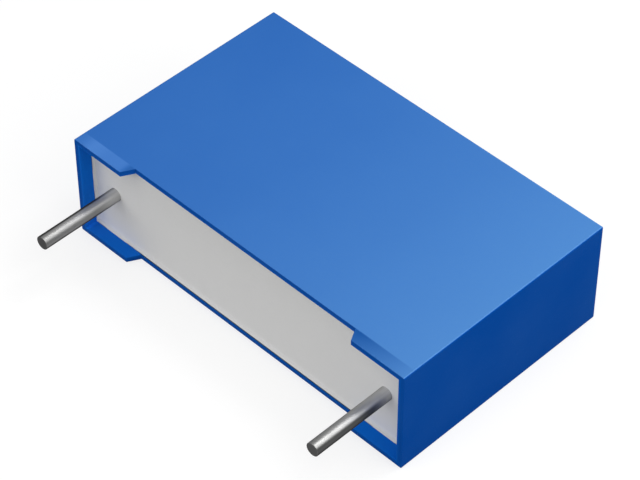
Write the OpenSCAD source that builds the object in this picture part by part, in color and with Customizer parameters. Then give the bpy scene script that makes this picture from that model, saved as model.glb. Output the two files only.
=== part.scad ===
// Box film capacitor with two radial leads, lying on one of its wide faces.
// X runs along the lead row, Y from the board up through the case, Z through its thickness.
// The origin is on the axis of the left lead, in the plane of the feet that stand on the board.

/* [Case] */
// Distance from a lead's axis to the nearer end face of the case
end_margin = 1.5; // [1.2:0.1:2.5]
// Height of the case above the board
case_h = 11; // [9:0.5:16]
// Thickness of the case, across the lead row
case_t = 5; // [4:0.5:7]
// Thickness of the wide walls at the open rim
rim_wall = 0.25; // [0.2:0.05:0.45]
// Thickness of the end walls at the open rim
end_wall = 0.28; // [0.2:0.01:0.45]
// Thickness of the closed end
base_wall = 0.4; // [0.3:0.1:1]
// Draft angle of the moulded cavity, degrees
cavity_draft = 0.5; // [0:0.25:1.5]
// Radius of the moulded outer edges
edge_r = 0.05; // [0.05:0.05:0.2]

/* [Feet] */
// Height of the feet, which hold the resin clear of the board
foot_h = 0.55; // [0.3:0.05:1.2]
// Length of each foot along the case, at its tip
foot_l = 2.7; // [1.5:0.1:4]
// Distance over which the inner end of a foot slopes back to the rim
foot_slope = 0.3; // [0.1:0.05:1]

/* [Leads] */
// Distance between the two lead axes
lead_pitch = 15; // [10:2.5:22.5]
// Diameter of a lead
lead_d = 0.6; // [0.5:0.1:0.8]
// Length of each lead beyond the feet
lead_out = 3.2; // [2.5:0.1:25]
// Straight stretch of a lead inside the resin, before its double bend
lead_straight = 0.1; // [0.05:0.05:0.3]
// Centreline radius of each half of the double bend, which steps a lead in to the film roll
lead_bend_r = 0.8; // [0.5:0.1:1.2]
// Angle of each half of the double bend, degrees
lead_bend_angle = 30; // [20:5:45]
// Straight shank between the two halves
lead_shank = 0.2; // [0.15:0.05:0.5]
// Depth that a welded lead sinks into the sprayed metal
weld_sink = 0.1; // [0.05:0.05:0.2]
// Distance from the top of a lead to the top of the film roll
lead_top_gap = 1.2; // [0.5:0.1:2]

/* [Film roll and resin] */
// Depth of the resin surface below the rim between the feet
resin_drop = 0.15; // [0:0.05:0.3]
// Thickness of resin between the film roll and the narrowest part of the wide walls
resin_side = 0.3; // [0.2:0.05:0.6]
// Thickness of resin between the film roll and the closed end
resin_back = 0.5; // [0.3:0.1:1]
// Distance from the end of a lead's double bend to the film roll
roll_gap = 0.2; // [0.1:0.05:0.5]
// Thickness of the plain film wrapped round the roll
wrap_t = 0.1; // [0.05:0.05:0.2]
// Thickness of the metal sprayed on each end of the roll
spray_t = 0.4; // [0.3:0.1:0.6]

/* [Hidden] */
$fn = 48;

// Cutting tools reach this far past the faces that they cut
cut = 1;

// Case and its cavity
case_l = lead_pitch + 2 * end_margin;
mid_x = lead_pitch / 2;
cavity_h = case_h - base_wall;
taper = cavity_h * tan(cavity_draft);

// Resin surface, and the double bend of each lead just above it
resin_y = foot_h + resin_drop;
lead_r = lead_d / 2;
bend_y = resin_y + lead_straight;
lead_step = micron(2 * lead_bend_r * (1 - cos(lead_bend_angle)) + lead_shank * sin(lead_bend_angle));
lead_rise = micron(2 * lead_bend_r * sin(lead_bend_angle) + lead_shank * cos(lead_bend_angle));
weld_y = bend_y + lead_rise;

// Bending leaves the wire this much thinner, and each bend laps into its straights by this angle
bent_r = 0.99 * lead_r;
bend_lap = 3;

// Film roll with its wrap: an upright flattened roll, wound about an axis along X
roll_y = weld_y + roll_gap;
roll_h = cavity_h - resin_back - roll_y;
roll_t = micron(case_t - 2 * (rim_wall + taper + resin_side));
spray_face = lead_pitch / 2 - lead_step - lead_r + weld_sink;
roll_l = 2 * (spray_face - spray_t);
lead_top = roll_y + roll_h - lead_top_gap;

// A length rounded to a thousandth of a millimetre
function micron(x) = round(1000 * x) / 1000;

// Upright rectangle about the origin with round corners
module round_rectangle(w, h, r) {
    square([w - 2 * r, h], center = true);
    square([w, h - 2 * r], center = true);
    for (x = [-1, 1], y = [-1, 1])
        translate([x * (w / 2 - r), y * (h / 2 - r)]) circle(r);
}

// Outline of the flattened roll: t thick and h long, with half-round ends
module flat_roll_outline(t, h) {
    square([h - t, t], center = true);
    for (side = [-1, 1]) translate([side * (h - t) / 2, 0]) circle(t / 2);
}

// Solids drawn on the wide face (X-Y), on the end face (Y-Z) and on the back (X-Z)
module along_z(length) {
    translate([0, 0, -length / 2]) linear_extrude(length) children();
}

module along_x(length) {
    translate([-length / 2, 0, 0]) rotate([90, 0, 90]) linear_extrude(length) children();
}

module along_y(from, to) {
    translate([0, from, 0]) rotate([-90, 0, 0]) linear_extrude(to - from) children();
}

// Outer block of the case. All its edges are rounded but those of the open side, which is cut flat
module case_block() {
    over = cut + edge_r;
    intersection() {
        along_y(0, case_h + cut) round_rectangle(case_l, case_t, edge_r);
        translate([0, (case_h - over) / 2, 0])
            along_z(case_t + cut) round_rectangle(case_l, case_h + over, edge_r);
        translate([0, (case_h - over) / 2, 0])
            along_x(case_l + cut) round_rectangle(case_h + over, case_t, edge_r);
    }
}

// Half of the cavity's width at the level y, in a case of this outer width and wall at the rim
function cavity_half(outer, wall, y) = outer / 2 - wall - y * tan(cavity_draft);

// Cavity from the level y to the closed end, narrowing by its draft
module cavity(y) {
    a = cavity_half(case_l, end_wall, y);
    a1 = cavity_half(case_l, end_wall, cavity_h);
    b = cavity_half(case_t, rim_wall, y);
    b1 = cavity_half(case_t, rim_wall, cavity_h);
    intersection() {
        along_z(case_t) polygon([[-a, y], [a, y], [a1, cavity_h], [-a1, cavity_h]]);
        along_x(case_l) polygon([[y, -b], [y, b], [cavity_h, b1], [cavity_h, -b1]]);
    }
}

// Gap between the feet, cut through both wide walls and sloping down to the rim at each end
module foot_gap() {
    tip = case_l / 2 - foot_l;
    root = tip - foot_slope;
    along_z(case_t + 2 * cut)
        polygon([[-tip, -cut], [tip, -cut], [tip, 0], [root, foot_h], [-root, foot_h], [-tip, 0]]);
}

// Moulded box, open towards the board, with a foot at each corner
module case() {
    color([0.20, 0.45, 0.73])
        translate([mid_x, 0, 0])
            difference() {
                case_block();
                cavity(-cut);
                foot_gap();
            }
}

// Film roll or its wrap as a solid rod: the outline shrunk by inset
module roll_rod(length, inset) {
    translate([0, roll_y + roll_h / 2, 0])
        along_x(length) flat_roll_outline(roll_t - 2 * inset, roll_h - 2 * inset);
}

// Lead on the right, its axis at the origin of the lead row: straight out of the resin,
// two equal and opposite bends towards the roll, then straight up the sprayed end
module lead_wire() {
    along_y(-lead_out, bend_y) circle(lead_r);
    translate([0, bend_y, 0]) lead_bend();
    translate([-lead_step / 2, (bend_y + weld_y) / 2, 0]) rotate([0, 0, lead_bend_angle])
        along_y(-lead_shank / 2, lead_shank / 2) circle(lead_r);
    translate([-lead_step, weld_y, 0]) rotate([0, 0, 180]) lead_bend();
    translate([-lead_step, 0, 0]) along_y(weld_y, lead_top) circle(lead_r);
}

// Bend that leaves the origin along +Y and turns towards -X, lapping past both its ends
module lead_bend() {
    translate([-lead_bend_r, 0, 0]) rotate([0, 0, -bend_lap])
        rotate_extrude(angle = lead_bend_angle + 2 * bend_lap)
            translate([lead_bend_r, 0]) circle(bent_r);
}

// What is drawn for the right end of the case, put at the right (1) or the left (-1) end
module at_end(side) {
    translate([mid_x, 0, 0]) mirror([side < 0 ? 1 : 0, 0, 0]) children();
}

module lead(side) {
    color([0.72, 0.72, 0.70])
        at_end(side) translate([lead_pitch / 2, 0, 0]) lead_wire();
}

// Metal sprayed on one end of the roll, with the groove that the welded lead sinks into
module end_spray(side) {
    color([0.50, 0.51, 0.52])
        at_end(side)
            difference() {
                translate([spray_face - spray_t / 2, 0, 0]) roll_rod(spray_t, 0);
                translate([lead_pitch / 2, 0, 0]) lead_wire();
            }
}

// Roll of metallised film, wound round and pressed flat
module film_roll() {
    color([0.80, 0.80, 0.82])
        translate([mid_x, 0, 0]) roll_rod(roll_l, wrap_t);
}

// Closing turns of plain film
module outer_wrap() {
    color([0.88, 0.84, 0.70])
        translate([mid_x, 0, 0])
            difference() {
                roll_rod(roll_l, 0);
                roll_rod(roll_l + cut, wrap_t);
            }
}

// Cast resin that seals the case and holds the roll and the leads
module resin_filling() {
    color([0.71, 0.71, 0.69])
        difference() {
            translate([mid_x, 0, 0])
                difference() {
                    cavity(resin_y);
                    roll_rod(2 * spray_face, 0);
                }
            for (side = [-1, 1])
                at_end(side) translate([lead_pitch / 2, 0, 0]) lead_wire();
        }
}

case();
resin_filling();
film_roll();
outer_wrap();
end_spray(-1);  // end_spray_left
end_spray(1);  // end_spray_right
lead(-1);  // lead_left
lead(1);  // lead_right
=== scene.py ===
"""Looks of a box film capacitor: moulded case, cast resin face, tinned leads and wound roll.

X runs along the lead row, Y from the board up through the case, Z through its thickness.
The origin is on the axis of the left lead, in the plane of the feet.
"""

import math

import bpy
import numpy as np
from bpy.props import FloatProperty, FloatVectorProperty, IntProperty, PointerProperty
from bpy.types import Operator, Panel, PropertyGroup
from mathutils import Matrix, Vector


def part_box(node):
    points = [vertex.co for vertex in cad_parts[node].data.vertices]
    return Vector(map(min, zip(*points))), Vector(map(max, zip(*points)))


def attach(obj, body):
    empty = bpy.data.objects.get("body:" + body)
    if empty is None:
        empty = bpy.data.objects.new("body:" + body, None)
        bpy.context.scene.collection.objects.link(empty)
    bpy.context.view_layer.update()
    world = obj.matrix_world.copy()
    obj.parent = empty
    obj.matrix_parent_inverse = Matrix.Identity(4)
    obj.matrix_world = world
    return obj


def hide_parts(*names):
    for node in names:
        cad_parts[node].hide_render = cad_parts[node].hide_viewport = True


bl_info = {
    "name": "Box film capacitor",
    "version": (1, 0, 0),
    "blender": (4, 5, 0),
    "location": "View3D > Sidebar > Capacitor",
    "description": "Case, cast resin face, tinned leads and wound roll of a box film capacitor",
    "category": "Object",
}

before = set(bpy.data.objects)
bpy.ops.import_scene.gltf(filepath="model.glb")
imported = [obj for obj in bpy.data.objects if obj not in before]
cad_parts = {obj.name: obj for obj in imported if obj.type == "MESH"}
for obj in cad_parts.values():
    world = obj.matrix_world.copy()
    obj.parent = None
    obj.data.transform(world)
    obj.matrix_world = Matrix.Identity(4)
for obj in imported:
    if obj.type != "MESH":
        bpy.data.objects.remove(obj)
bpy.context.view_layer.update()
CASE_LOW, CASE_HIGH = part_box("case")
RESIN_LOW, RESIN_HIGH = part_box("resin_filling")
LEAD_LOW, LEAD_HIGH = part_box("lead_left")

MM = 0.001
DEGREE = math.pi / 180
MID_X = (CASE_LOW.x + CASE_HIGH.x) / 2
MID_Z = (CASE_LOW.z + CASE_HIGH.z) / 2
HALF_L = (CASE_HIGH.x - CASE_LOW.x) / 2
HALF_T = (CASE_HIGH.z - CASE_LOW.z) / 2
LEAD_R = (LEAD_HIGH.z - LEAD_LOW.z) / 2
LEAD_X = MID_X - LEAD_LOW.x - LEAD_R
PAGE = "Capacitor"


# ---------------------------------------------------------------- settings


def size(name, description, default_mm):
    """A length that the user may change, kept in metres."""
    return FloatProperty(
        name=name,
        description=description,
        default=default_mm * MM,
        min=0,
        unit="LENGTH",
        precision=5,
    )


def colour(name, description, default):
    """A surface colour, as linear red, green and blue."""
    return FloatVectorProperty(
        name=name, description=description, default=default, size=3, min=0, max=1, subtype="COLOR"
    )


def share(name, description, default):
    """A plain number from 0 to 1."""
    return FloatProperty(
        name=name, description=description, default=default, min=0, max=1, subtype="FACTOR"
    )


def angle(name, description, default_degrees):
    """An angle, kept in radians and given here in degrees."""
    return FloatProperty(
        name=name, description=description, default=default_degrees * DEGREE, subtype="ANGLE"
    )


class CapacitorCase(PropertyGroup):
    """Sizes and colours of the moulded case."""

    rim_wall: size("Rim wall", "Thickness of the wide walls at the open rim", 0.25)
    end_wall: size("End wall", "Thickness of the end walls at the open rim", 0.28)
    closed_end: size("Closed end", "Thickness of the closed end", 0.4)
    draft: angle("Cavity draft", "How far the cavity's walls lean inwards", 0.5)
    edge_round: size("Edge radius", "Radius of the outer edges", 0.05)
    rim_round: size("Rim radius", "Radius left by the mould along the rim", 0.014)
    foot_height: size("Foot height", "Height of the feet", 0.55)
    foot_length: size("Foot length", "Length of a foot at its tip", 2.7)
    foot_slope: size("Foot slope", "Distance over which a foot slopes back to the rim", 0.3)
    foot_blend: size(
        "Foot blend", "Length over which the corners of a foot's slope are blended", 0.025
    )
    plastic: colour("Plastic", "Colour of the moulded plastic", (0.0005, 0.079, 0.415))
    # Painted highlight: the paler colour of the wide faces stands in for the light they catch
    face_highlight_plastic: colour(
        "Chalky plastic", "Colour of the wide faces, where the mould is matt", (0.071, 0.218, 0.525)
    )
    # Painted highlight: a pale line along the outer edges, for the light that round edges catch
    edge_highlight_plastic: colour(
        "Worn plastic", "Colour of the plastic along rubbed edges", (0.115, 0.310, 0.680)
    )
    # Painted light: a brighter colour for the walls of the cavity, which lie in shade
    cavity_light_plastic: colour(
        "Fresh plastic", "Colour of the plastic inside the cavity", (0.006, 0.178, 0.780)
    )
    # Painted highlight over the outer face of a foot
    foot_highlight_plastic: colour(
        "Pale plastic", "Colour of the plastic where it flowed in to a foot", (0.070, 0.215, 0.590)
    )
    # Painted shade over the outer face of a foot
    foot_shade_plastic: colour(
        "Deep plastic", "Colour of the plastic at the weld line of a foot", (0.010, 0.080, 0.310)
    )
    roughness: share("Roughness", "Roughness of the moulded surface", 0.25)


class CapacitorResin(PropertyGroup):
    """Sizes and colours of the cast resin."""

    wall_climb: size("Climb at walls", "Height to which the resin creeps up the walls", 0.15)
    lead_climb: size("Climb at leads", "Height to which the resin creeps up the leads", 0.01)
    climb_reach: size("Climb reach", "Distance over which the creep dies away", 0.025)
    sag: size("Sag", "Depth of the hollow left as the resin sets", 0.015)
    resin: colour("Resin", "Colour of the cast resin", (0.79, 0.79, 0.785))
    filler: colour("Filler", "Colour of the mineral filler in it", (0.71, 0.71, 0.705))
    # Painted light: the resin turns paler towards the lower side
    lit_lower_resin: colour(
        "Settled resin", "Colour at the lower side, where fine filler settled", (0.90, 0.90, 0.895)
    )
    # Painted shade where the resin creeps up the lower wall
    thin: colour(
        "Thin resin", "Colour where the resin has crept up the lower wall", (0.74, 0.74, 0.74)
    )
    roughness: share("Roughness", "Roughness of the set surface", 0.55)


class CapacitorLeads(PropertyGroup):
    """Sizes and colours of the leads."""

    straight: size("Straight", "Height above the feet at which the double bend begins", 0.8)
    bend_radius: size("Bend radius", "Centreline radius of each half of the double bend", 0.8)
    bend_angle: angle("Bend angle", "Angle of each half of the double bend", 30)
    shank: size("Shank", "Straight stretch between the two halves", 0.2)
    cut_round: size("Cut edge", "Radius left on the cut ends", 0.02)
    sides: IntProperty(name="Sides", description="Faces round the wire", default=72, min=12)
    tin: colour("Tin", "Colour of the tinned wire", (0.66, 0.66, 0.655))
    # Also painted shade: the wire turns to this colour towards its tip
    dull_and_shaded_tin: colour("Dull tin", "Colour of the tin where it has dulled", (0.34, 0.34, 0.335))
    edge_tin: colour(
        "Tin at a glance", "Tint of reflections that graze the wire", (0.16, 0.16, 0.16)
    )
    # Painted shade on the underside and edges of the wire
    painted_wire_shade: colour(
        "Tarnish", "Colour of the tin that has tarnished on the underside", (0.10, 0.10, 0.10)
    )
    cut_end: colour("Cut end", "Colour of the metal sheared at a cut end", (0.12, 0.12, 0.12))
    roughness: share("Roughness", "Roughness of the tinned wire", 0.44)


class CapacitorRoll(PropertyGroup):
    """Colours of the wound roll."""

    film: colour("Film", "Colour of the metallised film", (0.75, 0.75, 0.77))
    film_gap: colour("Film gap", "Colour between two turns of film", (0.42, 0.42, 0.45))
    wrap: colour("Wrap", "Colour of the closing turns of plain film", (0.80, 0.76, 0.62))
    wrap_fold: colour(
        "Wrap fold", "Colour of the plain film where its turns lie close", (0.66, 0.61, 0.46)
    )
    spray: colour(
        "Sprayed metal", "Colour of the metal sprayed on the roll's ends", (0.40, 0.41, 0.42)
    )
    spray_pore: colour(
        "Sprayed metal pores", "Colour in the pores of the sprayed metal", (0.20, 0.205, 0.21)
    )


class CapacitorStage(PropertyGroup):
    """Camera, lamps and floor."""

    camera_azimuth: angle("Camera azimuth", "Direction of the camera round the part", 44.96)
    camera_elevation: angle("Camera elevation", "Height of the camera above the horizon", 45.03)
    camera_distance: size(
        "Camera distance", "Distance from the camera to the point it looks at", 102.55
    )
    camera_lens: FloatProperty(
        name="Lens",
        description="Focal length of the camera, in millimetres",
        default=146.95,
        min=1,
        unit="CAMERA",
    )
    floor: colour("Floor", "Colour of the floor and the backdrop", (0.30, 0.30, 0.30))
    floor_glow: share(
        "Floor glow", "Added to the floor where the camera, gloss or glass sees it", 0.72
    )
    world_level: FloatProperty(
        name="World", description="Level of the light from all round", default=0.50, min=0
    )
    key_level: FloatProperty(
        name="Key", description="Level of the main soft lamp", default=0.34, min=0
    )
    front_level: FloatProperty(
        name="Front", description="Level of the soft lamp before the part", default=0.35, min=0
    )
    back_level: FloatProperty(
        name="Back", description="Level of the soft lamp behind the part", default=0.30, min=0
    )


SETTINGS = {
    "capacitor_case": CapacitorCase,
    "capacitor_resin": CapacitorResin,
    "capacitor_leads": CapacitorLeads,
    "capacitor_roll": CapacitorRoll,
    "capacitor_stage": CapacitorStage,
}


# ---------------------------------------------------------------- surfaces


def skinned(rings):
    """Points and faces of a closed skin over rings of points, of shape (rings, points, 3).

    Quads join each ring to the next one, and round the seam. A fan of triangles closes each end:
    its point is the mean of the end ring.
    """
    count, around = rings.shape[:2]
    index = np.arange(count * around).reshape(count, around)
    turned = np.roll(index, -1, axis=1)
    quads = np.stack([index[:-1], turned[:-1], turned[1:], index[1:]], axis=-1).reshape(-1, 4)
    first, last = count * around, count * around + 1
    fans = [
        np.stack([np.full(around, first), turned[0], index[0]], axis=-1),
        np.stack([np.full(around, last), index[-1], turned[-1]], axis=-1),
    ]
    points = np.concatenate([rings.reshape(-1, 3), [rings[0].mean(axis=0), rings[-1].mean(axis=0)]])
    return points, quads, np.concatenate(fans)


def enclosed(points, quads, triangles):
    """Six times the signed volume inside the faces: positive where they point outwards."""
    corners = np.concatenate([quads[:, [0, 1, 2]], quads[:, [0, 2, 3]], triangles])
    a, b, c = (points[corners[:, k]] for k in range(3))
    return np.einsum("ij,ij->i", a, np.cross(b, c)).sum()


def piece(name, points, quads, triangles, material, slot, *nodes):
    """A smooth mesh object that rides on the part and stands for the named CAD nodes."""
    if enclosed(points, quads, triangles) < 0:
        quads, triangles = quads[:, ::-1], triangles[:, ::-1]
    mesh = bpy.data.meshes.new(name)
    mesh.from_pydata(points.tolist(), [], quads.tolist() + triangles.tolist())
    mesh.validate()
    mesh.polygons.foreach_set("use_smooth", np.ones(len(mesh.polygons), bool))
    mesh.materials.append(material)
    made = bpy.data.objects.new(name, mesh)
    bpy.context.scene.collection.objects.link(made)
    shading = made.modifiers.new("even_shading", "WEIGHTED_NORMAL")
    shading.mode = "FACE_AREA"
    shading.keep_sharp = False
    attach(made, "root")
    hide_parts(*nodes)
    return made


def carry(made, settings, points, *marks):
    """Stores what each mark says of the points under its own name, by which materials read it."""
    for mark in marks:
        values = mark(settings, points).astype(np.float32)
        made.data.attributes.new(mark.__name__, "FLOAT", "POINT").data.foreach_set("value", values)


def carried(material, name):
    """The value that the mesh carries under that name."""
    return node(material, "ShaderNodeAttribute", attribute_name=name).outputs["Fac"]


def eased(low, high, value):
    """0 below low and 1 above high, with a smooth S between: 3 t squared less 2 t cubed."""
    t = np.clip((value - low) / (high - low), 0, 1)
    return t * t * (3 - 2 * t)


# ---------------------------------------------------------------- case


# Length of wall that a corner may take up, points on its arc, and its size against the edge radius
CORNER_REACH = 0.45 * MM
CORNER_STEPS = 9
CORNER_RATIO = 1.3

# Radius of the cavity's corners, and the level above which its rings are flat
CAVITY_CORNER = 0.02 * MM
MOUTH = 0.8 * MM


def case_loop(half_x, half_z, radius, shared_x, shared_z):
    """One loop round the case, as (points, 2) of X and Z about its middle.

    The straights run through the shared stations, so every loop has its points at the same X or Z
    there. Each corner is a quarter circle of the radius, with a few points before and after it.
    """
    turn = np.linspace(0, math.pi / 2, CORNER_STEPS)
    closing = np.array([0.36, 0.12, 0.03])
    run_x = half_x - radius - closing * (half_x - radius - shared_x[-1])
    run_z = half_z - radius - closing[::-1] * (half_z - radius - shared_z[-1])
    beside = np.ones(len(closing))
    corner_x = np.concatenate([run_x, half_x - radius + radius * np.sin(turn), half_x * beside])
    corner_z = np.concatenate([half_z * beside, half_z - radius + radius * np.cos(turn), run_z])
    corner = np.stack([corner_x, corner_z], axis=1)
    top = np.stack([shared_x, np.full(len(shared_x), half_z)], axis=1)
    end = np.stack([np.full(len(shared_z), half_x), shared_z[::-1]], axis=1)
    half = np.concatenate([top, corner, end, (corner * [1, -1])[::-1]])
    return np.concatenate([half, -half])


def rim_height(case, x):
    """Height of the rim at x from the middle: the foot's height in the gap between the feet, and
    zero under them, joined by a straight slope whose two corners are blended."""
    tip = HALF_L - case.foot_length
    stations = tip + np.array([-1, -1, 0, 0]) * case.foot_slope
    stations += np.array([-1, 1, -1, 1]) * case.foot_blend
    bend_in = eased(stations[0], stations[1], np.abs(x))
    bend_out = eased(stations[2], stations[3], np.abs(x))
    slope = (tip - np.abs(x)) / case.foot_slope * case.foot_height
    ramp = case.foot_height * (1 - bend_in) + slope * bend_in * (1 - bend_out)
    return np.clip(ramp, 0, case.foot_height)


def case_rings(case):
    """The whole skin of the case, from the middle of its closed end, over the outer edges, down the
    walls, round the rim and up the cavity to the middle of its floor.

    A ring is a loop at a level Y. Over a rounded edge of radius r, the loop shrinks by r(1 - sin a)
    while the level moves by r(1 - cos a). Near the rim, the level is measured from the rim's own
    height at that X. In the cavity the loop shrinks by the draft, its corners have the radius
    CAVITY_CORNER, and its rings follow the rim's height as far as the level MOUTH.
    """
    height = CASE_HIGH.y
    tip = HALF_L - case.foot_length
    root = tip - case.foot_slope
    blend = np.linspace(-1, 1, 5) * case.foot_blend
    right = np.concatenate([np.linspace(0, root - 0.2 * MM, 16), root + blend, tip + blend,
                            root + np.array([0.2, 0.35, 0.5, 0.65, 0.8]) * case.foot_slope,
                            [root - 0.06 * MM, tip + 0.15 * MM],
                            np.linspace(tip + 0.3 * MM, HALF_L - CORNER_REACH, 14)])
    right = np.unique(np.round(right, 8))
    shared_x = np.concatenate([-right[:0:-1], right])
    shared_z = np.linspace(-1, 1, 17) * (HALF_T - CORNER_REACH)
    edge = case.edge_round
    corner = edge * CORNER_RATIO
    end_extra = case.end_wall - case.rim_wall

    def loop(inset, radius):
        deep = min(max((inset - edge) / (case.rim_wall - edge), 0), 1)
        half_x = HALF_L - inset - deep * end_extra
        return case_loop(half_x, HALF_T - inset, radius, shared_x, shared_z)

    def ring(flat, level):
        level = np.broadcast_to(level, len(flat))
        return np.stack([MID_X + flat[:, 0], level, MID_Z + flat[:, 1]], axis=1)

    rings = []
    back = loop(edge, corner - edge)
    for scale in (0.04, 0.2, 0.4, 0.6, 0.8, 0.93, 0.98):
        rings.append(ring(back * scale, height))
    for a in np.linspace(0, math.pi / 2, 8):
        inset = edge * (1 - math.sin(a))
        rings.append(ring(loop(inset, corner - inset), height - edge * (1 - math.cos(a))))

    outer = loop(0, corner)
    rim = rim_height(case, outer[:, 0])
    bead = case.rim_round
    crease = case.foot_height + 0.08 * MM
    for level in np.concatenate([height - np.array([0.06, 0.09, 0.15, 0.3, 0.6]) * MM,
                                 np.linspace(height - 1.2 * MM, 1.2 * MM, 9), [0.9 * MM, crease]]):
        rings.append(ring(outer, level))
    for t in np.linspace(0, 1, 14)[1:]:
        rings.append(ring(outer, crease + (rim + bead - crease) * t))

    for a in np.linspace(0, math.pi / 2, 6)[1:]:
        inset = bead * (1 - math.cos(a))
        flat = loop(inset, corner - inset)
        rings.append(ring(flat, rim_height(case, flat[:, 0]) + bead * (1 - math.sin(a))))
    inner_bead = 0.6 * bead
    wall_top = case.rim_wall
    for inset in (bead * 1.6, (wall_top + bead) / 2, wall_top - inner_bead * 1.6):
        flat = loop(inset, max(corner - inset, CAVITY_CORNER))
        rings.append(ring(flat, rim_height(case, flat[:, 0])))
    for a in np.linspace(0, math.pi / 2, 5):
        inset = wall_top - inner_bead * (1 - math.sin(a))
        flat = loop(inset, CAVITY_CORNER + inner_bead * (1 - math.sin(a)))
        rings.append(ring(flat, rim_height(case, flat[:, 0]) + inner_bead * (1 - math.cos(a))))

    floor = height - case.closed_end
    lean = math.tan(case.draft)
    low = rim_height(case, loop(wall_top, CAVITY_CORNER)[:, 0]) + inner_bead
    for t in (0.25, 0.5, 0.75, 1):
        mouth = low + (MOUTH - low) * t
        rings.append(ring(loop(wall_top + lean * mouth.mean(), CAVITY_CORNER), mouth))
    for level in np.linspace(MOUTH, floor, 8)[1:]:
        rings.append(ring(loop(wall_top + lean * level, CAVITY_CORNER), level))
    inner = loop(wall_top + lean * floor, CAVITY_CORNER)
    for scale in (0.97, 0.8, 0.5, 0.2, 0.04):
        rings.append(ring(inner * scale, floor))
    return np.array(rings)


def painted_face_highlight(case, points):
    """Painted highlight on the wide outer faces: 0.62 in the middle of the length, 0.45 at the left
    end and 1 at the right end, falling to 0 on the first part of the round edges beside them."""
    depth = HALF_T - np.abs(points[:, 2] - MID_Z)
    along = (points[:, 0] - MID_X) / HALF_L
    drift = 0.62 + 0.275 * along + 0.105 * along**2
    return drift * (1 - eased(0, case.rim_round, depth))


def painted_cavity_light(case, points):
    """Painted light on the walls of the cavity, which lie in shade: 1 on the left end's wall, 0.5 on
    the others and 0 outside."""
    inside = np.minimum((HALF_L - np.abs(points[:, 0] - MID_X)) / case.end_wall,
                        (HALF_T - np.abs(points[:, 2] - MID_Z)) / case.rim_wall)
    at_left = 1 - eased(1.3, 1.6, (points[:, 0] - CASE_LOW.x) / case.end_wall)
    return eased(0.9, 0.98, inside) * (0.5 + 0.5 * at_left)


def painted_edge_highlight(case, points):
    """Painted highlight along the outer edges: a narrow line on the wide faces' side of them, full
    along the right end, weaker along the closed end, and dying away towards the left end."""
    radius = case.edge_round
    depth = HALF_T - np.abs(points[:, 2] - MID_Z)
    to_end = HALF_L - np.abs(points[:, 0] - MID_X)
    to_back = CASE_HIGH.y - points[:, 1]
    line = np.maximum(1 - eased(0.6 * radius, 1.5 * radius, to_end),
                      0.5 - 0.5 * eased(0.6 * radius, 1.5 * radius, to_back))
    along = (points[:, 0] - MID_X) / HALF_L
    return line * (1 - eased(0.02 * radius, 0.4 * radius, depth)) * eased(-0.3, 1, along)


def painted_foot_shading(case, points):
    """Painted shading over a foot's outer face, from -1 (painted shade) to 1 (painted highlight).

    It grows from nothing at the crease above the foot to its full value near the tip. Along the
    left foot it is a pale hump that turns deep just at the slope, and along the right foot it is
    deep at the slope and fades towards the corner.
    """
    along, level = points[:, 0] - MID_X, points[:, 1]
    root = HALF_L - case.foot_length - case.foot_slope
    crease = case.foot_height + 0.02 * MM
    from_root = (np.abs(along) - root) / (HALF_L - root)
    depth = np.clip((crease - level) / case.foot_height, 0, 1)
    on_face = np.abs(np.abs(points[:, 2] - MID_Z) - HALF_T) < 0.01 * MM
    below = eased(0, 0.06, depth)
    pale = eased(0.06, 0.17, from_root) * (0.66 + 0.3 * eased(0.4, 0.7, from_root)) * below
    pale *= 1 - 0.75 * eased(0.7, 0.95, from_root)
    dark = np.clip(1.1 - from_root, 0, 1) * (1 - 0.25 * depth) * below
    left = pale - 0.5 * (1 - eased(0, 0.2, from_root)) * eased(0, 0.1, depth)
    return np.where(on_face & (from_root > -0.02), np.where(along < 0, left, -dark), 0)


# ---------------------------------------------------------------- resin


# How far the edge of the resin's face is tucked into the wall
TUCK = 0.006 * MM


def resin_stations(low, high, fine, coarse, reach, *middles):
    """Stations from low to high, fine within reach of the two ends and of each middle."""
    steps = [np.arange(low, high, coarse)]
    for end, way in ((low, 1), (high, -1)):
        steps.append(end + way * np.geomspace(1, 1 + reach / fine, 9) * fine - way * fine)
    for middle in middles:
        steps.append(middle + np.arange(-reach, reach + fine, fine))
    every = np.unique(np.round(np.concatenate([*steps, [low, high]]), 8))
    every = every[(every >= low - 1e-9) & (every <= high + 1e-9)]
    keep = np.concatenate([[True], np.diff(every) > fine * 0.35])
    keep[-1] = True
    return every[keep]


def resin_face(resin, x, z, half_x, half_z):
    """Level of the resin face at x, z from its middle.

    It is flat but for a shallow sag, (1 - x^2)(1 - z^2) of the half sizes, and it creeps towards
    the rim beside a wall or a lead, dying away as e to the power of minus distance over reach.
    """
    sag = resin.sag * (1 - (x / half_x) ** 2) * (1 - (z / half_z) ** 2)
    wall = np.minimum(half_x - np.abs(x), half_z - np.abs(z))
    lead = np.maximum(np.hypot(np.abs(x) - LEAD_X, z) - LEAD_R, 0)
    creep = resin.wall_climb * np.exp(-wall / resin.climb_reach)
    creep += resin.lead_climb * np.exp(-lead / resin.climb_reach)
    return RESIN_LOW.y + sag - creep


def painted_meniscus_shade(resin, points):
    """Painted shade: 1 where the resin has crept up the lower wall, and 0 away from it."""
    from_wall = np.abs(points[:, 2] - RESIN_LOW.z)
    return eased(0, 0.12, np.exp(-from_wall / resin.climb_reach))


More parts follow.
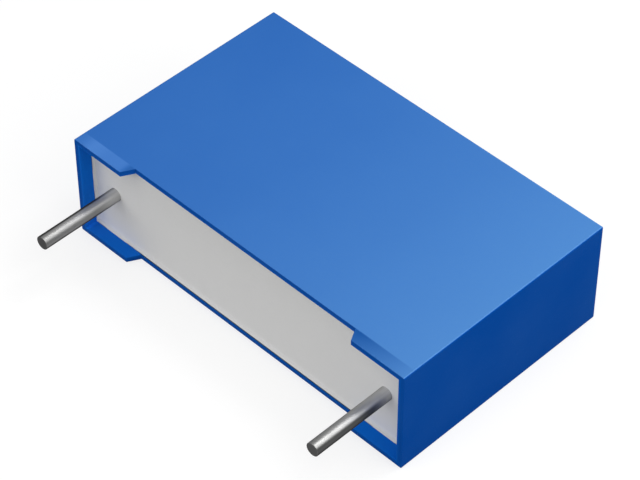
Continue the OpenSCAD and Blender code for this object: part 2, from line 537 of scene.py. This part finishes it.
def resin_block(resin, draft):
    """Points and faces of the cast block: the face as a grid of heights, the same grid flat at the
    bottom of the cavity and narrowed by the draft, and a band of quads round the four sides.

    The outermost points of the face are tucked a little into the wall, so that no gap shows there.
    """
    half_x, half_z = (RESIN_HIGH.x - RESIN_LOW.x) / 2, (RESIN_HIGH.z - RESIN_LOW.z) / 2
    x = resin_stations(-half_x, half_x, 0.03 * MM, 0.25 * MM, 0.6 * MM, -LEAD_X, LEAD_X)
    z = resin_stations(-half_z, half_z, 0.03 * MM, 0.15 * MM, 0.6 * MM, 0)
    grid_x, grid_z = np.meshgrid(x, z, indexing="ij")
    narrow = math.tan(draft) * (RESIN_HIGH.y - RESIN_LOW.y)
    tucked_x, tucked_z = (
        grid + np.sign(grid) * TUCK * (np.abs(grid) > half - TUCK)
        for grid, half in ((grid_x, half_x), (grid_z, half_z))
    )
    face = np.stack([MID_X + tucked_x, resin_face(resin, grid_x, grid_z, half_x, half_z),
                     MID_Z + tucked_z], -1)
    base = np.stack([MID_X + grid_x * (1 - narrow / half_x), np.full(grid_x.shape, RESIN_HIGH.y),
                     MID_Z + grid_z * (1 - narrow / half_z)], -1)
    index = np.arange(grid_x.size).reshape(grid_x.shape)
    quads = np.stack([index[:-1, :-1], index[1:, :-1], index[1:, 1:], index[:-1, 1:]], -1)
    quads = quads.reshape(-1, 4)
    around = np.concatenate([index[:-1, 0], index[-1, :-1], index[:0:-1, -1], index[0, :0:-1]])
    ahead = np.roll(around, -1)
    band = np.stack([around, around + index.size, ahead + index.size, ahead], -1)
    points = np.concatenate([face.reshape(-1, 3), base.reshape(-1, 3)])
    return points, np.concatenate([quads, quads[:, ::-1] + index.size, band])


# ---------------------------------------------------------------- leads


# Towards the lower right of a lead, in X and Z
LOWER_RIGHT = (0.82, -0.57)


def lead_path(leads):
    """Centreline of the left lead as points and directions in X and Y, from the tip up.

    Straight up from the tip, an arc that leans in towards the roll, a straight shank, the same arc
    turned back, and straight up beside the roll. Returns stations, points and directions.
    """
    r, a, shank = leads.bend_radius, leads.bend_angle, leads.shank
    turn = np.linspace(0, a, 13)
    straight_x = LEAD_LOW.x + LEAD_R
    first = np.stack([straight_x + r * (1 - np.cos(turn)), leads.straight + r * np.sin(turn)], 1)
    along = np.array([math.sin(a), math.cos(a)])
    pivot = first[-1] + shank * along
    back = turn[::-1]
    second = pivot + r * np.stack([np.cos(back) - math.cos(a), math.sin(a) - np.sin(back)], 1)
    top = np.array([[second[-1, 0], LEAD_HIGH.y]])
    points = np.concatenate([[[straight_x, LEAD_LOW.y]], first, second, top])
    heading = np.concatenate([[0], turn, back, [0]])
    stations = np.concatenate([[0], np.cumsum(np.hypot(*np.diff(points, axis=0).T))])
    return stations, points, heading


def lead_rings(leads):
    """A circle carried along the centreline, square to it, in rings of (ring, point, 3).

    The circle's radius is the wire's, but it closes in over each cut end as a quarter circle of the
    cut edge's radius c: r - c(1 - sin a) at a distance c(1 - cos a) from the end.
    """
    stations, points, heading = lead_path(leads)
    c = leads.cut_round
    a = np.linspace(0, math.pi / 2, 6)
    near = np.concatenate([np.zeros(4), c * (1 - np.cos(a)), [c * 2, c * 5]])
    thin = np.concatenate([np.array([0.05, 0.35, 0.7, 0.88]) * (LEAD_R - c),
                           LEAD_R - c * (1 - np.sin(a)), [LEAD_R, LEAD_R]])
    length = stations[-1]
    low, high = c * 6, length - c * 6
    body = np.unique(np.concatenate([np.linspace(low, high, 48), stations[1:-1]]))
    s = np.concatenate([near, body, length - near[::-1]])
    radius = np.concatenate([thin, np.full(len(body), LEAD_R), thin[::-1]])
    centre_x = np.interp(s, stations, points[:, 0])
    centre_y = np.interp(s, stations, points[:, 1])
    lean = np.interp(s, stations, heading)
    round_wire = np.linspace(0, 2 * math.pi, leads.sides, endpoint=False)
    across, up = np.cos(round_wire), np.sin(round_wire)
    x = centre_x[:, None] + radius[:, None] * np.cos(lean)[:, None] * across
    y = centre_y[:, None] - radius[:, None] * np.sin(lean)[:, None] * across
    z = MID_Z + radius[:, None] * up[None, :]
    return np.stack([x, y, z], axis=-1)


def painted_wire_shade(leads, points):
    """Painted shade, by the place across the wire: -1 at its upper left, 1 at its lower right.

    The right wire is shaded from its middle to its lower right. The left wire is half as much so
    there, and fully along its upper left and lower right edges. The painted shade fades where the
    wire comes out of the resin.
    """
    left = points[:, 0] < MID_X
    axis = np.where(left, MID_X - LEAD_X, MID_X + LEAD_X)
    from_axis = np.stack([points[:, 0] - axis, points[:, 2] - MID_Z])
    across = (LOWER_RIGHT[0] * from_axis[0] + LOWER_RIGHT[1] * from_axis[1]) / LEAD_R
    lower = eased(-0.05, 0.4, across)
    sides = np.maximum(eased(0.6, 0.8, -across), eased(0.75, 0.95, across))
    clear = 0.3 + 0.7 * eased(0.2 * MM, 1.2 * MM, RESIN_LOW.y - points[:, 1])
    return np.where(left, np.maximum(0.5 * lower, sides), lower) * clear


def cut_end(leads, points):
    """1 on the sheared ends of the wire, fading to 0 round their edges."""
    near = np.minimum(points[:, 1] - LEAD_LOW.y, LEAD_HIGH.y - points[:, 1])
    return 1 - eased(0.1 * leads.cut_round, 0.8 * leads.cut_round, near)


# ---------------------------------------------------------------- materials


def new_material(name, constants):
    """A node material, its shader, and the shader's own sockets set to the constants."""
    material = bpy.data.materials.new(name)
    material.use_nodes = True
    shader = material.node_tree.nodes["Principled BSDF"]
    for socket, value in constants.items():
        shader.inputs[socket].default_value = value
    return material, shader


def node(material, kind, inputs=(), **choices):
    """A node of that kind, with its choices set and its inputs set or linked by name."""
    made = material.node_tree.nodes.new(kind)
    for name, value in choices.items():
        setattr(made, name, value)
    for name, value in dict(inputs).items():
        if isinstance(value, bpy.types.NodeSocket):
            material.node_tree.links.new(value, made.inputs[name])
        else:
            made.inputs[name].default_value = value
    return made


def grain(material, scale, detail=2.0, stretch=(1, 1, 1), kind="ShaderNodeTexNoise"):
    """Noise of that many features to the metre, on object coordinates stretched by the factors."""
    place = node(material, "ShaderNodeTexCoord").outputs["Object"]
    laid = node(material, "ShaderNodeMapping", {"Vector": place, "Scale": stretch})
    inputs = {"Vector": laid.outputs["Vector"], "Scale": scale}
    if kind == "ShaderNodeTexNoise":
        inputs["Detail"] = detail
        return node(material, kind, inputs).outputs["Fac"]
    return node(material, kind, inputs).outputs["Distance"]


def ranged(material, value, low, high, start=0.0, end=1.0):
    """The value moved from the span start..end to low..high, and held there."""
    inputs = {"Value": value, "From Min": start, "From Max": end, "To Min": low, "To Max": high}
    return node(material, "ShaderNodeMapRange", inputs).outputs["Result"]


def mixed(material, factor, a, b):
    """Colour a where the factor is 0 and colour b where it is 1."""
    mix = material.node_tree.nodes.new("ShaderNodeMix")
    mix.data_type = "RGBA"
    sockets = (mix.inputs[0], mix.inputs[6], mix.inputs[7])
    for socket, value in zip(sockets, (factor, a, b)):
        if isinstance(value, bpy.types.NodeSocket):
            material.node_tree.links.new(value, socket)
        else:
            socket.default_value = value
    return mix.outputs[2]


def rgba(values):
    """The colour with an alpha of 1."""
    return (*values, 1.0)


def link(material, shader, **sources):
    """Links each source to the shader's socket of that name."""
    for name, source in sources.items():
        material.node_tree.links.new(source, shader.inputs[name.replace("_", " ")])


def relief(material, height, depth, strength):
    """A bump of that depth in metres."""
    return node(
        material, "ShaderNodeBump", {"Height": height, "Distance": depth, "Strength": strength}
    ).outputs["Normal"]


def moulded_plastic(case):
    """Satin moulded plastic: slow drifts of tone, a fine eroded skin, and painted light and shade on
    its mesh: highlights on the wide faces and edges, light in the cavity, shading over the feet.
    """
    material, shader = new_material("moulded_plastic", {
        "Specular IOR Level": 0.003,
        "IOR": 1.5,
    })
    drift = ranged(material, grain(material, 260, 3), 0, 1, 0.3, 0.7)
    speck = ranged(material, grain(material, 9000, 4), 0, 1, 0.25, 0.75)
    face_highlight, cavity_light, foot_shading, edge_highlight = (
        carried(material, name) for name in ("painted_face_highlight", "painted_cavity_light", "painted_foot_shading", "painted_edge_highlight")
    )
    plain, highlight_tone = Vector(case.plastic), Vector(case.face_highlight_plastic)
    # Painted highlight on the wide faces
    shade = mixed(material, face_highlight, rgba(plain), rgba(highlight_tone))
    # Painted light on the walls of the cavity
    shade = mixed(material, cavity_light, shade, rgba(case.cavity_light_plastic))
    shade = mixed(material, ranged(material, drift, 0, 0.08), shade, rgba(highlight_tone * 1.15))
    shade = mixed(material, ranged(material, speck, 0, 0.06), shade, rgba(plain * 1.4))
    # Painted highlight and painted shade over the feet
    shade = mixed(material, ranged(material, foot_shading, 0, 1, 0, 1), shade, rgba(case.foot_highlight_plastic))
    shade = mixed(material, ranged(material, foot_shading, 1, 0, -1, 0), shade, rgba(case.foot_shade_plastic))
    # Painted highlight along the outer edges
    shade = mixed(material, edge_highlight, shade, rgba(case.edge_highlight_plastic))
    skin = grain(material, 16000, 3)
    link(material, shader, Base_Color=shade,
         Roughness=ranged(material, speck, case.roughness - 0.04, case.roughness + 0.04),
         Normal=relief(material, skin, 0.004 * MM, 0.35))
    return material


def cast_resin(resin):
    """Filled casting resin: pale, with mineral grains, a few pin holes left by air, painted light
    that makes it paler towards the lower side, and painted shade where it creeps up the lower wall."""
    material, shader = new_material("cast_resin", {"Specular IOR Level": 0.25, "IOR": 1.5})
    cloud = ranged(material, grain(material, 700, 3), 0, 0.22, 0.3, 0.7)
    fleck = ranged(material, grain(material, 7000, 4), 0, 0.35, 0.5, 0.8)
    body = mixed(material, cloud, rgba(resin.resin), rgba(resin.filler))
    body = mixed(material, fleck, body, rgba(resin.filler))
    place = node(material, "ShaderNodeTexCoord").outputs["Object"]
    height = node(material, "ShaderNodeSeparateXYZ", {"Vector": place}).outputs["Z"]
    depth = ranged(material, height, 1, 0, -HALF_T, HALF_T)
    # Painted light: paler towards the lower side
    body = mixed(material, depth, body, rgba(resin.lit_lower_resin))
    # Painted shade where the resin creeps up the lower wall
    body = mixed(material, carried(material, "painted_meniscus_shade"), body, rgba(resin.thin))
    pores = ranged(material, grain(material, 2600, kind="ShaderNodeTexVoronoi"), 0, 1, 0.02, 0.09)
    ripple = grain(material, 5200, 4)
    skin = node(material, "ShaderNodeMath", operation="ADD").outputs["Value"]
    for source, socket in zip((ripple, pores), skin.node.inputs):
        material.node_tree.links.new(source, socket)
    rough = (resin.roughness - 0.08, resin.roughness + 0.08)
    link(material, shader, Base_Color=body,
         Roughness=ranged(material, ripple, *rough, 0.3, 0.7),
         Normal=relief(material, skin, 0.006 * MM, 0.4))
    return material


def tinned_wire(leads):
    """Drawn and tinned copper wire: faint lines along it, patches where the tin is dull, and painted
    shade that darkens it towards the tip and on its underside and edges."""
    material, shader = new_material("tinned_wire", {
        "Metallic": 1.0,
        "Specular Tint": rgba(leads.edge_tin),
    })
    patch = ranged(material, grain(material, 900, 3), 0, 0.6, 0.4, 0.7)
    lines = grain(material, 9000, 3, (1, 0.03, 1))
    place = node(material, "ShaderNodeTexCoord").outputs["Object"]
    level = node(material, "ShaderNodeSeparateXYZ", {"Vector": place}).outputs["Y"]
    # Painted shade: darker towards the tip
    tip_shade = ranged(material, level, 1, 0, LEAD_LOW.y, RESIN_LOW.y - 0.6 * MM)
    shade = mixed(material, tip_shade, rgba(leads.tin), rgba(leads.dull_and_shaded_tin))
    shade = mixed(material, ranged(material, patch, 0, 0.25, 0, 0.6), shade, rgba(leads.dull_and_shaded_tin))
    shade = mixed(material, ranged(material, lines, 0, 0.2, 0.45, 0.7), shade, rgba(leads.dull_and_shaded_tin))
    under, cut = (carried(material, name) for name in ("painted_wire_shade", "cut_end"))
    # Painted shade on the underside and edges of the wire
    shade = mixed(material, under, shade, rgba(leads.painted_wire_shade))
    shade = mixed(material, cut, shade, rgba(leads.cut_end))
    link(material, shader, Base_Color=shade,
         Roughness=ranged(material, patch, leads.roughness - 0.03, leads.roughness + 0.06, 0, 0.6),
         Normal=relief(material, lines, 0.004 * MM, 0.3))
    return material


def wound_film(roll):
    """Metallised film wound in turns: fine lines along the roll, as its turns lie on each other."""
    material, shader = new_material("wound_film", {"Metallic": 0.6, "Specular IOR Level": 0.5})
    turns = grain(material, 30000, 2, (0.02, 1, 1))
    turn = ranged(material, turns, 0, 1, 0.3, 0.7)
    shade = mixed(material, turn, rgba(roll.film_gap), rgba(roll.film))
    link(material, shader, Base_Color=shade, Roughness=ranged(material, turns, 0.24, 0.4),
         Normal=relief(material, turns, 0.003 * MM, 0.5))
    return material


def plain_film(roll):
    """The closing turns of plain film: amber, glossy, with slow creases."""
    material, shader = new_material("plain_film", {"Specular IOR Level": 0.6, "IOR": 1.55})
    crease = grain(material, 900, 3, (0.3, 1, 1))
    fold = ranged(material, crease, 0, 1, 0.35, 0.65)
    shade = mixed(material, fold, rgba(roll.wrap), rgba(roll.wrap_fold))
    link(material, shader, Base_Color=shade, Roughness=ranged(material, crease, 0.16, 0.3),
         Normal=relief(material, crease, 0.02 * MM, 0.3))
    return material


def sprayed_metal(roll):
    """Zinc sprayed in drops: rough, with grains and pores."""
    material, shader = new_material("sprayed_metal", {"Metallic": 0.9})
    drops = grain(material, 6500, kind="ShaderNodeTexVoronoi")
    dust = grain(material, 14000, 4)
    pore = ranged(material, drops, 0, 1, 0.1, 0.6)
    shade = mixed(material, pore, rgba(roll.spray), rgba(roll.spray_pore))
    link(material, shader, Base_Color=shade, Roughness=ranged(material, dust, 0.5, 0.75, 0.3, 0.7),
         Normal=relief(material, drops, 0.03 * MM, 0.8))
    return material


def seen(tree):
    """1 for rays by which the camera, gloss or glass sees a surface, and 0 for rays of light."""
    path = tree.nodes.new("ShaderNodeLightPath")
    total = path.outputs["Is Camera Ray"]
    for name in ("Is Glossy Ray", "Is Transmission Ray"):
        add = tree.nodes.new("ShaderNodeMath")
        add.operation = "MAXIMUM"
        tree.links.new(total, add.inputs[0])
        tree.links.new(path.outputs[name], add.inputs[1])
        total = add.outputs["Value"]
    return total


def pale_floor(stage):
    """Plain pale floor with a trace of tooth, lifted to white where it is seen."""
    material, shader = new_material("pale_floor", {
        "Specular IOR Level": 0.0,
        "Roughness": 0.9,
        "Emission Color": (1, 1, 1, 1),
    })
    tooth = grain(material, 60, 2)
    shade = mixed(material, ranged(material, tooth, 0, 1, 0.3, 0.7), rgba(stage.floor),
                  rgba(Vector(stage.floor) * 0.99))
    glow = ranged(material, seen(material.node_tree), 0, stage.floor_glow)
    link(material, shader, Base_Color=shade, Emission_Strength=glow)
    return material


# ---------------------------------------------------------------- stage


# Azimuth and elevation in degrees, distance and width in metres
LAMPS = {
    "key": (100, 48, 0.045, 0.03),
    "front": (-12, 38, 0.15, 0.16),
    "back": (165, 58, 0.12, 0.05),
}
CAMERA_TARGET = Vector((7.586 * MM, 4.631 * MM, 0))
FLOOR_REACH = 1.5
FLOOR_DROP = 0.005 * MM


def direction(azimuth, elevation):
    """Unit vector from the part towards a place at that azimuth and elevation, in radians."""
    flat = math.cos(elevation)
    return Vector((math.sin(azimuth) * flat, -math.cos(azimuth) * flat, math.sin(elevation)))


def look(made, place, target):
    """Puts a camera or lamp at the place and turns it to the target."""
    made.location = place
    made.rotation_mode = "QUATERNION"
    made.rotation_quaternion = (target - place).to_track_quat("-Z", "Y")
    bpy.context.scene.collection.objects.link(made)


def soft_lamp(name, azimuth, elevation, distance, width, level, target):
    """A square soft lamp. The level is what a white surface that faces it would show: the power is
    the level times pi squared times the distance squared."""
    lamp = bpy.data.lights.new(name, "AREA")
    lamp.shape = "SQUARE"
    lamp.size = width
    lamp.energy = level * math.pi**2 * distance**2
    made = bpy.data.objects.new(name, lamp)
    look(made, target + direction(azimuth * DEGREE, elevation * DEGREE) * distance, target)
    return made


# ---------------------------------------------------------------- operators


class CAPACITOR_OT_case(Operator):
    """Make the moulded case with its four feet"""

    bl_idname = "capacitor.case"
    bl_label = "Case"

    def execute(self, context):
        case = context.scene.capacitor_case
        points, quads, triangles = skinned(case_rings(case))
        made = piece("moulded_case", points, quads, triangles, moulded_plastic(case), "case",
                     "case")
        carry(made, case, points, painted_face_highlight, painted_cavity_light, painted_edge_highlight, painted_foot_shading)
        return {"FINISHED"}


class CAPACITOR_OT_resin(Operator):
    """Make the cast resin that closes the case"""

    bl_idname = "capacitor.resin"
    bl_label = "Resin"

    def execute(self, context):
        resin = context.scene.capacitor_resin
        points, quads = resin_block(resin, context.scene.capacitor_case.draft)
        triangles = np.zeros((0, 3), int)
        made = piece("cast_resin_block", points, quads, triangles, cast_resin(resin), "resin",
                     "resin_filling")
        carry(made, resin, points, painted_meniscus_shade)
        return {"FINISHED"}


class CAPACITOR_OT_leads(Operator):
    """Make the two leads, the right one as the mirror image of the left"""

    bl_idname = "capacitor.leads"
    bl_label = "Leads"

    def execute(self, context):
        leads = context.scene.capacitor_leads
        material = tinned_wire(leads)
        rings = lead_rings(leads)
        for side, sign in (("left", 1), ("right", -1)):
            turned = rings * [sign, 1, 1] + [MID_X * (1 - sign), 0, 0]
            points, quads, triangles = skinned(turned)
            made = piece(f"tinned_lead_{side}", points, quads, triangles, material, "lead",
                         f"lead_{side}")
            carry(made, leads, points, painted_wire_shade, cut_end)
        return {"FINISHED"}


class CAPACITOR_OT_roll(Operator):
    """Give the wound roll, its wrap and its sprayed ends their finishes"""

    bl_idname = "capacitor.roll"
    bl_label = "Roll"

    def execute(self, context):
        roll = context.scene.capacitor_roll
        spray = sprayed_metal(roll)
        finishes = {
            "film_roll": wound_film(roll),
            "outer_wrap": plain_film(roll),
            "end_spray_left": spray,
            "end_spray_right": spray,
        }
        for name, material in finishes.items():
            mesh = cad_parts[name].data
            mesh.materials.clear()
            mesh.materials.append(material)
        return {"FINISHED"}


class CAPACITOR_OT_stage(Operator):
    """Set up the floor, the soft lamps and the camera"""

    bl_idname = "capacitor.stage"
    bl_label = "Stage"

    def execute(self, context):
        stage = context.scene.capacitor_stage
        scene = context.scene

        floor_mesh = bpy.data.meshes.new("floor")
        corners = [
            (MID_X + sx * FLOOR_REACH, sy * FLOOR_REACH, CASE_LOW.z - FLOOR_DROP)
            for sx, sy in ((-1, -1), (1, -1), (1, 1), (-1, 1))
        ]
        floor_mesh.from_pydata(corners, [], [(0, 1, 2, 3)])
        floor_mesh.materials.append(pale_floor(stage))
        floor = bpy.data.objects.new("floor", floor_mesh)
        scene.collection.objects.link(floor)

        world = bpy.data.worlds.new("studio")
        world.use_nodes = True
        backdrop = world.node_tree.nodes["Background"]
        backdrop.inputs["Strength"].default_value = stage.world_level
        backdrop.inputs["Color"].default_value = (1, 1, 1, 1)
        scene.world = world

        middle = Vector((MID_X, CAMERA_TARGET.y, MID_Z))
        for name, (azimuth, elevation, distance, width) in LAMPS.items():
            level = getattr(stage, f"{name}_level")
            soft_lamp(name, azimuth, elevation, distance, width, level, middle)

        camera = bpy.data.cameras.new("camera")
        camera.sensor_width = 36
        camera.lens = stage.camera_lens
        camera.clip_start, camera.clip_end = 0.001, 100
        made = bpy.data.objects.new("camera", camera)
        away = direction(stage.camera_azimuth, stage.camera_elevation) * stage.camera_distance
        look(made, CAMERA_TARGET + away, CAMERA_TARGET)
        scene.camera = made
        scene.view_settings.view_transform = "Standard"
        return {"FINISHED"}


class CAPACITOR_PT_page(Panel):
    """Lists the steps that make the capacitor"""

    bl_idname = "CAPACITOR_PT_page"
    bl_label = "Box film capacitor"
    bl_space_type = "VIEW_3D"
    bl_region_type = "UI"
    bl_category = PAGE

    def draw(self, context):
        for operator in OPERATORS:
            self.layout.operator(operator.bl_idname)
        for name, settings in SETTINGS.items():
            box = self.layout.box()
            box.label(text=settings.__doc__)
            for key in settings.__annotations__:
                box.prop(getattr(context.scene, name), key)


OPERATORS = (
    CAPACITOR_OT_case,
    CAPACITOR_OT_resin,
    CAPACITOR_OT_leads,
    CAPACITOR_OT_roll,
    CAPACITOR_OT_stage,
)


def register():
    for made in (*SETTINGS.values(), *OPERATORS, CAPACITOR_PT_page):
        bpy.utils.register_class(made)
    for name, settings in SETTINGS.items():
        setattr(bpy.types.Scene, name, PointerProperty(type=settings))


def unregister():
    for name in SETTINGS:
        delattr(bpy.types.Scene, name)
    for made in reversed((*SETTINGS.values(), *OPERATORS, CAPACITOR_PT_page)):
        bpy.utils.unregister_class(made)


def main():
    """Makes the whole part."""
    register()
    bpy.ops.capacitor.case()
    bpy.ops.capacitor.resin()
    bpy.ops.capacitor.leads()
    bpy.ops.capacitor.roll()
    bpy.ops.capacitor.stage()


if __name__ == "__main__":
    main()
